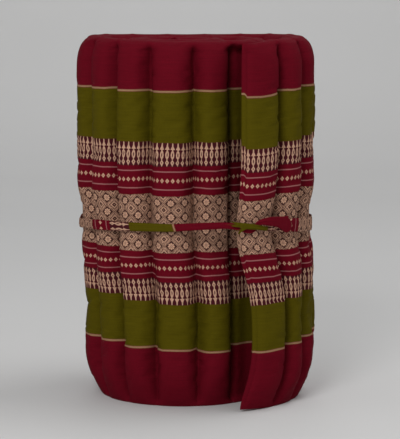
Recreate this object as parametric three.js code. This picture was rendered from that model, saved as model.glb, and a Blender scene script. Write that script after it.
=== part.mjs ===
// Quilted floor mattress, wound into a roll that stands on its end, with two ties knotted round its waist.
// Millimetres and degrees, +Z up, front towards -Y, origin in the middle of the bounding box's bottom face.
import * as THREE from "three";

// Mattress
const ROLL_HEIGHT = 600;
const CHANNEL_COUNT = 29;
const CHANNEL_PITCH = 72.9;
const CROWN_THICKNESS = 65;
const LAYER_GAP = 2;
const SEAM_DEPTH = 12;
const SEAM_SHARPNESS = 2.8;
const ROUNDING_POWER = 2.2;

// Roll
const FLAP_BEARING = -65;
const FLAP_CROWN_RADIUS = 228;
const CORE_SQUEEZE = 0.8;
const FOOT_NARROWING = 0.03;
const FOOT_SHIFT = 7;

// Ends of the channels
const TOP_ROUNDING = 52;
const TOP_SEAM_SHARE = 0.05;
const TOP_DRAW_IN = 3;
const FOOT_ROUNDING = 72;
const FOOT_SHARE = 0.42;

// Outer end of the mattress
const EDGE_ROUNDING = 16;
const EDGE_SEAM_SHARE = 0.12;
const EDGE_LIFT = 18;
const EDGE_OUTER_TAPER = 0.62;
const EDGE_INNER_TAPER = 0.5;
const EDGE_SAG = 5;

// Ties
const WAIST_HEIGHT = 300;
const WAIST_DEPTH = 5;
const WAIST_BAND = 17;
const WAIST_REACH = 50;
const TIE_CLEARANCE = 0.4;
const TIE_SIDES = 8;
const TIE_CORNER = 0.7;
const TIE_JOINT_HALF_ANGLE = 0.5;

// Knot
const KNOT_BEARING = -66;
const KNOT_HEIGHT = 303;
const KNOT_RADIUS = 5.2;
const KNOT_STRAND = 7.6;
const KNOT_TURN_LENGTH = 21;
const KNOT_TURNS = 1.5;
const KNOT_STEPS = 15;

const TAU = 2 * Math.PI;
const HALF_CROWN = CROWN_THICKNESS / 2;
const SEAM_HALF = HALF_CROWN - SEAM_DEPTH;
const FALL_PER_RADIAN = (CROWN_THICKNESS + LAYER_GAP) / TAU;
const FLAP_SEAM_RADIUS = FLAP_CROWN_RADIUS - SEAM_DEPTH;
const MATTRESS_LENGTH = CHANNEL_COUNT * CHANNEL_PITCH;

// Places across a channel, as shares of its pitch, and heights of the roll's sections.
const CHANNEL_PLACES = [0, 0.1, 0.5, 0.9];
const EDGE_PLACES = [0, 3, 9];
const LEVELS = [0, 8, 24, 48, 75, 150, 233, 283, 317, 367, 460, 548, 575, 592, 600];

// How far the outer edge is drawn in from its straight line, by height.
const EDGE_LINE = [
  { height: 0, drawnIn: -4 },
  { height: 48, drawnIn: 10 },
  { height: 100, drawnIn: 16 },
  { height: 172, drawnIn: 14 },
  { height: 217, drawnIn: 7 },
  { height: 243, drawnIn: 0 },
  { height: 283, drawnIn: -9 },
  { height: 317, drawnIn: -9 },
  { height: 355, drawnIn: -3 },
  { height: 400, drawnIn: 0 },
  { height: 600, drawnIn: 0 },
];

// Sections of each tie by bearing, from the sewn joint at the back to its side of the knot.
const LEFT_STRAP = [
  { bearing: 98, height: 296, width: 26, thickness: 2.6 },
  { bearing: 180, height: 298, width: 17, thickness: 4 },
  { bearing: 215, height: 299, width: 18, thickness: 4 },
  { bearing: 238, height: 300, width: 15, thickness: 5 },
  { bearing: 262, height: 299, width: 13, thickness: 6 },
  { bearing: 284, height: 300, width: 10, thickness: 7 },
];
const RIGHT_STRAP = [
  { bearing: 98, height: 296, width: 26, thickness: 2.6 },
  { bearing: 10, height: 298, width: 25, thickness: 2.6 },
  { bearing: -28, height: 298, width: 24, thickness: 2.8 },
  { bearing: -38, height: 301, width: 22, thickness: 3.2 },
  { bearing: -47, height: 300, width: 12, thickness: 5 },
  { bearing: -55, height: 302, width: 10, thickness: 6.5 },
  { bearing: -58.5, height: 303, width: 9, thickness: 7 },
];

// Free ends beyond the knot. Each row's lift is the height of its middle over the taut line.
const LEFT_TAIL = [
  { bearing: -57, height: 312, width: 13, thickness: 5, lift: 15 },
  { bearing: -54, height: 311, width: 20, thickness: 3.6, lift: 14 },
  { bearing: -50, height: 307, width: 25, thickness: 2.8, lift: 12.2 },
  { bearing: -45, height: 304, width: 27, thickness: 2.6, lift: 10.2 },
  { bearing: -40, height: 302, width: 28, thickness: 2.6, lift: 8.6 },
  { bearing: -36.5, height: 302, width: 26, thickness: 2.6, lift: 8 },
];
const RIGHT_TAIL = [
  { bearing: -70.4, height: 301, width: 9, thickness: 6, lift: 14 },
  { bearing: -71, height: 300, width: 12, thickness: 3.5, lift: 13.5 },
  { bearing: -71.6, height: 300, width: 9, thickness: 2, lift: 13 },
];

const radians = (degrees) => degrees * Math.PI / 180;
const clamp01 = (x) => Math.min(1, Math.max(0, x));
const smooth = (x) => clamp01(x) ** 2 * (3 - 2 * clamp01(x));
const roundShare = (x, power) => (1 - (1 - clamp01(x)) ** power) ** (1 / power);

// Value of one column of a table at a place between its rows.
function lookUp(rows, key, place, column) {
  const rising = rows[rows.length - 1][key] > rows[0][key];
  const ordered = rising ? rows : [...rows].reverse();
  const after = ordered.findIndex((row) => row[key] >= place);
  if (after === 0) return ordered[0][column];
  if (after < 0) return ordered[ordered.length - 1][column];
  const [low, high] = [ordered[after - 1], ordered[after]];
  const share = (place - low[key]) / (high[key] - low[key]);
  return THREE.MathUtils.lerp(low[column], high[column], share);
}

// Turn from the outer end of the mattress, for a length along the seams of its outer cover.
function turnAt(length) {
  const radius = Math.sqrt(FLAP_SEAM_RADIUS ** 2 - 2 * FALL_PER_RADIAN * length);
  return (FLAP_SEAM_RADIUS - radius) / FALL_PER_RADIAN;
}

// Distance from a length along the mattress to the nearer of its two ends.
const fromEnd = (length) => Math.min(length, MATTRESS_LENGTH - length);

// Share of the padding's thickness at a height: rounded at the top seam, pressed flat at the foot.
function endShare(height) {
  const top = roundShare((ROLL_HEIGHT - height) / TOP_ROUNDING, ROUNDING_POWER);
  const squash = (1 - FOOT_SHARE) * (1 - clamp01(height / FOOT_ROUNDING)) ** ROUNDING_POWER;
  return Math.max(TOP_SEAM_SHARE, top) * (1 - squash);
}

// Depth of the dent that the ties press into the outermost cover.
function waistDent(height) {
  const away = Math.abs(height - WAIST_HEIGHT) - WAIST_BAND;
  return WAIST_DEPTH * (1 - smooth(away / WAIST_REACH));
}

// Point of the outer (side 1) or inner (side -1) cover at a length along the mattress and a height.
function coverPoint(length, height, side) {
  const across = (length / CHANNEL_PITCH) % 1;
  const bulge = roundShare(2 * Math.min(across, 1 - across), SEAM_SHARPNESS);
  const ending = Math.max(EDGE_SEAM_SHARE, roundShare(fromEnd(length) / EDGE_ROUNDING, ROUNDING_POWER));

  const nearFlap = 1 - smooth(length / CHANNEL_PITCH);
  const drawnIn = lookUp(EDGE_LINE, "height", height, "drawnIn") * nearFlap;
  const turn = turnAt(length + drawnIn);
  const middle = FLAP_SEAM_RADIUS - SEAM_HALF - FALL_PER_RADIAN * turn + EDGE_LIFT * nearFlap;

  let half = SEAM_HALF + (HALF_CROWN - SEAM_HALF) * bulge;
  if (side > 0 && turn < TAU) half -= waistDent(height);
  half *= 1 - nearFlap * (side > 0 ? EDGE_OUTER_TAPER : EDGE_INNER_TAPER);
  if (side < 0) half = Math.min(half, CORE_SQUEEZE * middle);

  const foot = smooth((WAIST_HEIGHT - height) / (WAIST_HEIGHT / 2));
  const radius = (middle + side * half * ending * endShare(height)) * (1 - FOOT_NARROWING * foot);
  const bearing = radians(FLAP_BEARING) + turn;
  const drawnDown = TOP_DRAW_IN * bulge * clamp01(1 - (ROLL_HEIGHT - height) / TOP_ROUNDING);
  const sag = EDGE_SAG * nearFlap * smooth(height / ROLL_HEIGHT);
  return new THREE.Vector3(
    radius * Math.cos(bearing) + FOOT_SHIFT * foot,
    radius * Math.sin(bearing),
    height - drawnDown - sag,
  );
}

// Lengths along the mattress at which its section is drawn.
function sectionLengths() {
  const lengths = [...EDGE_PLACES];
  for (let channel = 0; channel < CHANNEL_COUNT; channel += 1) {
    for (const place of CHANNEL_PLACES) {
      const length = (channel + place) * CHANNEL_PITCH;
      if (fromEnd(length) > EDGE_PLACES.at(-1)) lengths.push(length);
    }
  }
  for (const place of [...EDGE_PLACES].reverse()) lengths.push(MATTRESS_LENGTH - place);
  return lengths;
}

// Closed surface through rings of points: the rings joined in turn, and a cap of triangles on each end.
function skin(rings, capTriangles) {
  const count = rings[0].length;
  const positions = rings.flat().flatMap((point) => [point.x, point.y, point.z]);
  const index = [];
  for (let ring = 0; ring < rings.length - 1; ring += 1) {
    for (let i = 0; i < count; i += 1) {
      const next = (i + 1) % count;
      const [a, b] = [ring * count + i, ring * count + next];
      index.push(a, b, b + count, a, b + count, a + count);
    }
  }
  const last = (rings.length - 1) * count;
  for (const [a, b, c] of capTriangles) {
    index.push(c, b, a, last + a, last + b, last + c);
  }
  const geometry = new THREE.BufferGeometry();
  geometry.setAttribute("position", new THREE.Float32BufferAttribute(positions, 3));
  geometry.setIndex(index);
  geometry.computeVertexNormals();
  return geometry;
}

// The mattress: at each level a ring along the outer cover and back along the inner one.
function mattressGeometry() {
  const lengths = sectionLengths();
  const rings = LEVELS.map((height) => [
    ...lengths.map((length) => coverPoint(length, height, 1)),
    ...[...lengths].reverse().map((length) => coverPoint(length, height, -1)),
  ]);
  const opposite = 2 * lengths.length - 1;
  const caps = [];
  for (let i = 0; i < lengths.length - 1; i += 1) {
    caps.push([i, i + 1, opposite - i - 1]);
    caps.push([i, opposite - i - 1, opposite - i]);
  }
  return skin(rings, caps);
}

// Corners of the taut line that a tie takes round the waist: the convex outline of the outer cover there.
function tautOutline() {
  const outline = sectionLengths()
    .filter((length) => turnAt(length) < TAU)
    .map((length) => coverPoint(length, WAIST_HEIGHT, 1))
    .sort((a, b) => a.x - b.x || a.y - b.y);
  const turnsLeft = (a, b, c) => (b.x - a.x) * (c.y - a.y) > (b.y - a.y) * (c.x - a.x);
  const halfOutline = (points) => {
    const kept = [];
    for (const point of points) {
      while (kept.length > 1 && !turnsLeft(kept.at(-2), kept.at(-1), point)) kept.pop();
      kept.push(point);
    }
    return kept.slice(0, -1);
  };
  return [...halfOutline(outline), ...halfOutline([...outline].reverse())];
}

// Point on the taut line in the direction of a bearing, and the line's outward normal there.
function tautPoint(outline, bearing) {
  const direction = new THREE.Vector2(Math.cos(radians(bearing)), Math.sin(radians(bearing)));
  let nearest = { radius: Infinity };
  outline.forEach((start, i) => {
    const end = outline[(i + 1) % outline.length];
    const normal = new THREE.Vector2(end.y - start.y, start.x - end.x).normalize();
    const facing = normal.dot(direction);
    const radius = normal.dot(new THREE.Vector2(start.x, start.y)) / facing;
    if (facing > 0 && radius < nearest.radius) nearest = { radius, normal };
  });
  return { point: direction.multiplyScalar(nearest.radius), normal: nearest.normal };
}

// Middle of a tie's section over the taut line.
function overWaist(outline, bearing, lift, height) {
  const { point, normal } = tautPoint(outline, bearing);
  const centre = point.add(normal.clone().multiplyScalar(lift));
  return new THREE.Vector3(centre.x, centre.y, height);
}

// Bearings at which a strap bends: the corners of the taut line between its first and last rows.
function strapBearings(outline, rows) {
  const [from, to] = [rows[0].bearing, rows[rows.length - 1].bearing];
  const [low, high] = [Math.min(from, to), Math.max(from, to)];
  const bearings = [from, to];
  for (const corner of outline) {
    const bearing = THREE.MathUtils.radToDeg(Math.atan2(corner.y, corner.x));
    for (const turned of [bearing, bearing + 360]) {
      if (turned > low + 0.5 && turned < high - 0.5) bearings.push(turned);
    }
  }
  return bearings.sort((a, b) => (to > from ? a - b : b - a));
}

// Sections of a strap that lies taut on the roll.
function strapSections(outline, rows) {
  return strapBearings(outline, rows).map((bearing) => {
    const [height, width, thickness] = ["height", "width", "thickness"]
      .map((column) => lookUp(rows, "bearing", bearing, column));
    const centre = overWaist(outline, bearing, TIE_CLEARANCE + thickness / 2, height);
    return { centre, width, thickness };
  });
}

// Sections of one strand through the knot, starting under the other strand and ending over it.
function knotSections(outline, travel) {
  const { point, normal } = tautPoint(outline, KNOT_BEARING);
  const outward = new THREE.Vector3(normal.x, normal.y, 0);
  const along = new THREE.Vector3(-normal.y, normal.x, 0);
  const stand = TIE_CLEARANCE + KNOT_RADIUS + KNOT_STRAND / 2;
  const middle = new THREE.Vector3(point.x, point.y, KNOT_HEIGHT).addScaledVector(outward, stand);
  const sections = [];
  for (let step = 0; step <= KNOT_STEPS; step += 1) {
    const share = step / KNOT_STEPS;
    const angle = share * KNOT_TURNS * TAU;
    const centre = middle.clone();
    centre.addScaledVector(along, travel * (share - 0.5) * KNOT_TURNS * KNOT_TURN_LENGTH);
    centre.addScaledVector(outward, -KNOT_RADIUS * Math.cos(angle));
    centre.z -= travel * KNOT_RADIUS * Math.sin(angle);
    sections.push({ centre, width: KNOT_STRAND, thickness: KNOT_STRAND });
  }
  return sections;
}

// Sections of a free end.
function tailSections(outline, rows) {
  return rows.map((row) => ({ ...row, centre: overWaist(outline, row.bearing, row.lift, row.height) }));
}

// Solid swept through flat, round-cornered sections that stand across their path.
function sweptGeometry(sections) {
  const rings = sections.map((section, i) => {
    const before = sections[Math.max(0, i - 1)].centre;
    const after = sections[Math.min(sections.length - 1, i + 1)].centre;
    const path = after.clone().sub(before).normalize();
    const up = new THREE.Vector3(0, 0, 1).addScaledVector(path, -path.z).normalize();
    const out = path.clone().cross(up);
    const ring = [];
    for (let side = 0; side < TIE_SIDES; side += 1) {
      const angle = (side + 0.5) / TIE_SIDES * TAU;
      const [c, s] = [Math.cos(angle), Math.sin(angle)];
      const wide = Math.sign(c) * Math.abs(c) ** TIE_CORNER * section.width / 2;
      const thick = Math.sign(s) * Math.abs(s) ** TIE_CORNER * section.thickness / 2;
      ring.push(section.centre.clone().addScaledVector(up, wide).addScaledVector(out, thick));
    }
    return ring;
  });
  const fan = [];
  for (let side = 1; side < TIE_SIDES - 1; side += 1) fan.push([0, side, side + 1]);
  return skin(rings, fan);
}

// One tie: strap, knot strand and free end. Travel is 1 for a strand that crosses the knot to the right.
function tieGeometry(outline, strap, tail, travel) {
  const [joint, ...rest] = strap;
  const sewnEnd = { ...joint, bearing: joint.bearing + travel * TIE_JOINT_HALF_ANGLE };
  return sweptGeometry([
    ...strapSections(outline, [sewnEnd, ...rest]),
    ...knotSections(outline, travel),
    ...tailSections(outline, tail),
  ]);
}

// Assembly
const outline = tautOutline();
const pieces = [
  { name: "mattress_roll", colour: "#5f0d19", geometry: mattressGeometry() },
  { name: "tie_left", colour: "#7b5b4e", geometry: tieGeometry(outline, LEFT_STRAP, LEFT_TAIL, 1) },
  { name: "tie_right", colour: "#473f0c", geometry: tieGeometry(outline, RIGHT_STRAP, RIGHT_TAIL, -1) },
];

const roll = new THREE.Group();
roll.name = "rolled_floor_mattress";
const box = new THREE.Box3();
for (const piece of pieces) {
  piece.geometry.computeBoundingBox();
  box.union(piece.geometry.boundingBox);
}
const middle = box.getCenter(new THREE.Vector3());
for (const piece of pieces) {
  piece.geometry.translate(-middle.x, -middle.y, -box.min.z);
  const material = new THREE.MeshStandardMaterial({ color: piece.colour, roughness: 0.85 });
  const mesh = new THREE.Mesh(piece.geometry, material);
  mesh.name = piece.name;
  roll.add(mesh);
}

export default roll;
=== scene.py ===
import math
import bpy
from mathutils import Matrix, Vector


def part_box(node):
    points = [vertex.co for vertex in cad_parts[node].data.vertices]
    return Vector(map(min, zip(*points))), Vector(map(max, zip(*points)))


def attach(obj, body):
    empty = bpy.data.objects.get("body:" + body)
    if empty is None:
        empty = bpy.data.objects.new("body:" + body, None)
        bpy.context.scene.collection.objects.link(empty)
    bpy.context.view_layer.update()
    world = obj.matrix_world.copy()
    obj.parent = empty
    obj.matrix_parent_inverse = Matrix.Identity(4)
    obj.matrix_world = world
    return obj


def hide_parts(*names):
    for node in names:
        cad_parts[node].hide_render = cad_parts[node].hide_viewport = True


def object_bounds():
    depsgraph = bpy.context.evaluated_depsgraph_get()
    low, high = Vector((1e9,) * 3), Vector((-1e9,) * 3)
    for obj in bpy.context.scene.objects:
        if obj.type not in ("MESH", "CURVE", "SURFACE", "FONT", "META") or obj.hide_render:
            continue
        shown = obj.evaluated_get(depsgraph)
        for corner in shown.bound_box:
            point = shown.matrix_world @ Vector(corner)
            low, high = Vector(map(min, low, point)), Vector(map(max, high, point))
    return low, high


bl_info = {
    "name": "Rolled floor mattress",
    "version": (1, 0, 0),
    "blender": (4, 5, 0),
    "location": "View3D > Sidebar > Mattress",
    "description": "Dresses a rolled quilted floor mattress and its knotted ties",
    "category": "Object",
}

import bpy
import numpy as np
from bpy.props import FloatProperty, FloatVectorProperty, IntProperty, PointerProperty

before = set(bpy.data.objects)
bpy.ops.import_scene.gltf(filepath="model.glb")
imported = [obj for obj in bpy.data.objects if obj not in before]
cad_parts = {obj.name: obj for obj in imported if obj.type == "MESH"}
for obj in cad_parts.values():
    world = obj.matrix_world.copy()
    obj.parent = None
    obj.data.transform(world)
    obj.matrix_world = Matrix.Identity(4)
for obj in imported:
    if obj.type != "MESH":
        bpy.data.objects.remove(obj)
CAD_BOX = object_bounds()

TAU = 2 * math.pi
MM = 0.001

# Ends of the channels, in metres or as shares
ROUNDING_POWER = 2.2
SEAM_SHARPNESS = 2.05
TOP_ROUNDING = 0.052
TOP_POWER = 2.4
TOP_SEAM_SHARE = 0.05
TOP_DRAW_IN = 0.001
FOOT_ROUNDING = 0.080
FOOT_SHARE = 0.18
FOOT_NARROWING = 0.03
FOOT_SHIFT = 0.007
CORE_SQUEEZE = 0.8
# The seams stop short of the top edge and fade out there
SEAM_STOP = 0.027
SEAM_FADE = 0.85
SEAM_FADE_REACH = 0.032
# Height at which the roll is centred on its CAD box
CENTRED_LEVEL = 0.46
# Channels that go on under the flap after the first turn
SHOWN_UNDER_FLAP = 0.9

# Outer end of the mattress
EDGE_ROUNDING = 0.018
EDGE_SEAM_SHARE = 0.08
EDGE_LIFT = 0.018
EDGE_FOOT_LIFT = 0.4
EDGE_FOOT_REACH = 0.1
EDGE_OUTER_TAPER = 0.62
EDGE_INNER_TAPER = 0.5
EDGE_SAG = 0.003
EDGE_TILT = 0.004
EDGE_TILT_REACH = 0.07
EDGE_HEM = 0.007
EDGE_STITCH = 0.0045
EDGE_STITCH_REACH = 0.0017
EDGE_FURTHEST = -0.02
EDGE_EASING = 0.022
EDGE_SAMPLES = 9
# The channel that runs in beside the flap is pressed in: depth, then place and reach in channels
TUCKED_DEPTH = 0.028
TUCKED_BACK = 0.2
TUCKED_REACH = 0.52
# Height in millimetres, and how far the outer edge is drawn in there
EDGE_LINE = (
    (0, -4), (48, 10), (100, 16), (172, 14), (217, 7), (243, 0),
    (283, -9), (317, -9), (355, -3), (400, 0), (600, 0),
)

# Cloth drawn up at the left and right side, and down by the flap and on it, by height in millimetres
LEFT_RAISED = ((0, 4), (95, 6), (173, 11), (225, 8), (257, 4), (300, 2), (600, 2))
RIGHT_RAISED = ((0, 6), (95, 9), (173, 12), (225, 11), (257, 8), (300, 6), (600, 4))
FRONT_DROPPED = ((0, 6), (95, 5), (170, 1.5), (230, 0), (600, 0))
FLAP_DROPPED = (
    (0, 1), (90, 1), (170, -0.5), (230, -2), (255, -3.5),
    (300, -1), (350, 3.7), (400, 5.5), (600, 5.5),
)
# Where the cloth is drawn up or down: bearing of its start and degrees to full, then the same for its end
RIGHT_REACH = (-52, 30, 150, 60)
LEFT_REACH = (90, 60, 255, 50)
FRONT_REACH = (268, 12, 300, 8)
# The same on the flap, in channels from its edge, and in metres for the bare hem
FLAP_CHANNELS = 1.25
FLAP_BARE = 0.003
FLAP_FADE = 0.004
# Bands far from the middle, above it and below it, stand higher than the cloth's length makes them
FAR_BANDS_RAISED = 0.004
FAR_BANDS_START = 0.12
FAR_BANDS_REACH = 0.09
# Small steps of the bands from channel to channel
BAND_WANDER = 0.0006
# Uneven channels of the outermost turn: bearing in degrees, and how far the seams there stand on
SEAM_DRIFT = (
    (-65, 0), (-46, 2.4), (-25, 0), (115, 0), (160, 4), (197, 5.1), (211, 4.4), (222, 2.2),
    (235, 0.4), (248, -1.2), (262, 0), (275, 0.7), (303, 0.6),
)
# Cloth taken up by the seams before a channel, in millimetres
CLOTH_TAKEN = ((0, 2.6), (1, -0.7), (12, 6.7), (13, -0.3), (14, 5), (15, -11.3))
# Height in metres at which the cloth's length is walked
CLOTH_LEVEL = 0.42
# The roll's sides stand a little higher than its front
SIDE_RISE = 0.0046
SIDE_RISE_START = 0.35
SIDE_RISE_REACH = 0.2
SIDE_RISE_TURN = 5.2

# Uneven filling, puckers and pinched seams of the outermost cover
LUMP_HEIGHT = 0.0011
LUMP_LENGTH = 0.028
LUMP_RISE = 0.030
FILL_VARIATION = 0.0012
PUCKER_HEIGHT = 0.0008
PUCKER_FROM_SEAM = 0.006
PUCKER_REACH = 0.007
PUCKER_PITCH = 0.0030
SEAM_PINCH = 0.021
PINCH_REACH = 0.0086
PINCH_POWER = 1.25
# Filling and puckers fade out by the ties, and the pinched seams with them at the foot and the top edge
TIE_CLEAR = 0.020
TIE_FADE = 0.030
FOOT_FADE = 0.012
TOP_BARE = 0.003
TOP_FADE = 0.016

# Parts of the outermost cover that the padding doesn't move, and the frames that it takes to settle
HELD_EDGE = 0.02
HELD_COLUMNS = 3
HELD_FOOT = 0.03
HELD_TOP = 0.006
HELD_WAIST = 0.026
SETTLING_FRAMES = 16

# Rows of points: reach, number and closeness at the foot and at the top, and number between them
FOOT_ROWS = (0.045, 13, 1.6)
TOP_ROWS = (0.050, 19, 1.8)
BODY_ROWS = 108

# Dent of the ties in the outermost cover
WAIST_HEIGHT = 0.300
WAIST_DEPTH = 0.005
WAIST_BAND = 0.017
WAIST_REACH = 0.050

# Ties: bearing in degrees, then height, width and thickness in millimetres
LEFT_STRAP = (
    (98.5, 296, 25, 2.6), (150, 291, 16, 3.4), (185, 290.5, 14.5, 3.8), (215, 297, 17, 4),
    (238, 299, 14.4, 5), (262, 299.5, 13, 6), (284, 306, 11, 6.5),
)
RIGHT_STRAP = (
    (97.5, 296, 25, 2.6), (40, 291, 24, 2.6), (6, 288.5, 23.5, 2.6), (-28, 297, 23.5, 2.8),
    (-38, 301, 22, 3.2), (-47, 301, 12, 5),
)
# Knot and free ends: bearing, height, width, thickness, and lift of the middle over the taut line
LEFT_KNOT = (
    (-72, 307.5, 10.5, 5.5, 3.4), (-69, 307, 10, 5, 3.2), (-66, 304, 9.5, 5, 3.1),
    (-63.5, 299.5, 9, 4.8, 3), (-61.5, 299.5, 8.5, 4.6, 2.9), (-60.3, 303.5, 8, 4.2, 2.8),
    (-59.6, 309, 8, 4.2, 3.8), (-58.8, 312.8, 8, 4.2, 7.4), (-57.4, 313.6, 10.5, 4, 10.8),
    (-55.4, 313.6, 14, 3.4, 12.2), (-53, 312.6, 15.5, 3, 12.2), (-50.3, 311.2, 17, 2.8, 11.5),
    (-47.5, 308.7, 20.5, 2.6, 10.6), (-44.7, 305.5, 26.5, 2.5, 9.6), (-43, 304.2, 28.5, 2.4, 9.2),
    (-41.8, 304.6, 25.5, 2.2, 8.8), (-41.1, 305.8, 19, 1.8, 8.6), (-40.8, 306.8, 12, 1.4, 8.5),
)
RIGHT_KNOT = (
    (-52, 300, 8.5, 5, 4.6), (-55.8, 301.5, 7, 4.8, 6.6), (-58.9, 304, 7.6, 4.6, 8.3),
    (-62.8, 307, 9, 4.6, 9.6), (-65.4, 308.6, 10, 4.2, 9.6), (-66.2, 309, 8, 3.2, 9.4),
)
# Torn ends of the right tie, from inside its last stretch to their points
RIGHT_PRONGS = (
    ((-64.6, 310, 5.5, 3, 9.6), (-66.6, 311.6, 5, 2.4, 9.8), (-68.4, 314, 1.6, 0.9, 9.8)),
    ((-64.6, 308.6, 5.5, 3, 9.6), (-67, 308.6, 4.5, 2, 10), (-68.6, 308, 1.4, 0.8, 10)),
    ((-64.4, 307, 5.5, 3, 9.4), (-65.8, 302, 5, 2.4, 9.4), (-66.6, 295.4, 1.8, 0.9, 9)),
)
# Loose threads, in the same way
RIGHT_THREADS = (
    ((-66, 312, 0.7, 0.7, 10), (-68, 314.5, 0.6, 0.6, 11), (-69.6, 315, 0.4, 0.4, 11)),
    ((-65.8, 303, 0.7, 0.7, 9.6), (-67.4, 300.5, 0.6, 0.6, 10), (-68.6, 297.5, 0.4, 0.4, 9.6)),
    ((-66, 309.5, 0.7, 0.7, 10.2), (-68, 310.5, 0.6, 0.6, 11), (-70, 310, 0.4, 0.4, 11.6)),
    ((-63, 311, 0.7, 0.7, 10.6), (-62, 313, 0.6, 0.6, 11.4), (-61.4, 315.4, 0.4, 0.4, 11.6)),
)
LEFT_THREADS = (
    ((-43, 291.5, 0.8, 0.8, 9.2), (-42.4, 289.8, 0.7, 0.7, 9.3), (-42, 287.6, 0.5, 0.5, 9)),
    ((-43.8, 291.5, 0.8, 0.8, 9.4), (-43.6, 289, 0.7, 0.7, 9.6), (-43, 286.8, 0.5, 0.5, 9.4)),
    ((-42, 294, 0.8, 0.8, 9), (-41.2, 292, 0.7, 0.7, 9.1), (-40.8, 289.6, 0.5, 0.5, 8.8)),
)
# Where the cloth's bands fall along each tie: bearing, then distance from the cloth's middle in millimetres
LEFT_BANDS = (
    (98.5, -300), (124, -211.5), (150, -132), (164, -95), (179, -47), (194, 0),
    (209, 47), (224, 95), (237.5, 132), (264, 211.5), (284, 275),
)
RIGHT_BANDS = (
    (97.5, -420), (40, -211.5), (17, -132), (7, -95), (-5, -47), (-19, 0),
    (-33, 47), (-45, 95), (-54.7, 132), (-68, 186),
)
TIE_CLEARANCE = 0.0004
TIE_CORNER = 0.85
TIE_TWIST = 0.35
# Spacing of a tie's rows and of its torn ends' rows, and points round each of them and of the threads
TIE_STEP = 0.0018
END_STEP = 0.0009
TIE_AROUND = 36
PRONG_AROUND = 16
THREAD_AROUND = 8
# Fewest rows of a path, and rounds of easing its corners
LEAST_ROWS = 6
EASING_ROUNDS = 6
# Points from which the taut line round the waist is found
WAIST_POINTS = 1600
# How gathered a tie is: at no width, and its least and greatest share
GATHERED = (1.15, 0.2, 0.8)
# Folds of a gathered tie, which wander along it, and a second, wider set
FOLD_DRIFT = 0.05
FOLD_SWAY = 1.5
FOLD_SWAY_LENGTH = 0.031
SECOND_FOLD = 0.4
SECOND_FOLD_PITCH = 1.7
SECOND_FOLD_DRIFT = 1.3
FOLD_THICKNESS_SHARE = 0.34

# Relief of the weave, in metres
MATTRESS_WEAVE = 0.0005
TIE_WEAVE = 0.0004
# Distances of the bands from the cloth's middle, in millimetres
BROCADE_EDGE = 46.3
FIRST_PINK_LINE = 57.6
DOT_ROW = 71.8
SECOND_PINK_LINE = 86.0
SPEARS_START = 94.5
SPEAR_TIPS = 95.0
GREEN_START = 132.0
GREEN_END = 209.5
END_LINE = 211.5

# Floor and backdrop, in metres
FLOOR_WIDTH = 16
FLOOR_DEPTH = 13
FLOOR_MIDDLE = 0.5
BACK_EDGE = 6.9
BACKDROP_HEIGHT = 5
COVE_RADIUS = 2.4
COVE_STEPS = 24
# Lights: name, place and size in metres
LIGHTS = (
    ("key_light", (-1.0, -3.3, 2.4), 1.6),
    ("top_light", (1.3, 0.3, 2.8), 2.0),
    ("backdrop_light", (0, 6.0, 3.8), 3.0),
)
# Height over the floor's origin that the lights look at. One that stands far back looks just before itself
AIM_HEIGHT = 0.3
AIM_BEFORE = 0.7

# Image size that the camera is fitted to, in pixels
IMAGE_HEIGHT = 439
SENSOR = 36.0


class MattressSettings(bpy.types.PropertyGroup):
    height: FloatProperty(
        name="Height", description="Width of the mattress, which is the height of the roll",
        default=round(CAD_BOX[1][2] - CAD_BOX[0][2], 4), min=0.1, unit="LENGTH")
    channel_count: IntProperty(
        name="Channels", description="Padded channels along the mattress",
        default=29, min=4, subtype="UNSIGNED")
    channel_pitch: FloatProperty(
        name="Channel pitch", description="Distance between two seams", default=0.0729, unit="LENGTH")
    crown_thickness: FloatProperty(
        name="Thickness", description="Thickness of a channel at its crown", default=0.065, unit="LENGTH")
    layer_gap: FloatProperty(
        name="Layer gap", description="Space between two turns of the roll", default=0.002, unit="LENGTH")
    seam_depth: FloatProperty(
        name="Seam depth", description="Depth of a seam under the crowns", default=0.012, unit="LENGTH")
    flap_bearing: FloatProperty(
        name="Flap bearing", description="Direction of the outer edge from the roll's axis",
        default=math.radians(-65), subtype="ANGLE")
    flap_radius: FloatProperty(
        name="Flap radius", description="Radius of the outermost crown", default=0.228, unit="LENGTH")
    band_middle: FloatProperty(
        name="Band middle", description="Height of the middle of the woven bands",
        default=0.3047, unit="LENGTH")
    spare_cloth: FloatProperty(
        name="Spare cloth", description="Share of cloth that puckers between the seams",
        default=0.02, subtype="FACTOR")
    slack: FloatProperty(
        name="Slack", description="How far the cover lies in before the padding swells",
        default=0.002, unit="LENGTH")
    swell: FloatProperty(
        name="Swell", description="Furthest that the padding moves the cover", default=0.004, unit="LENGTH")


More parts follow.
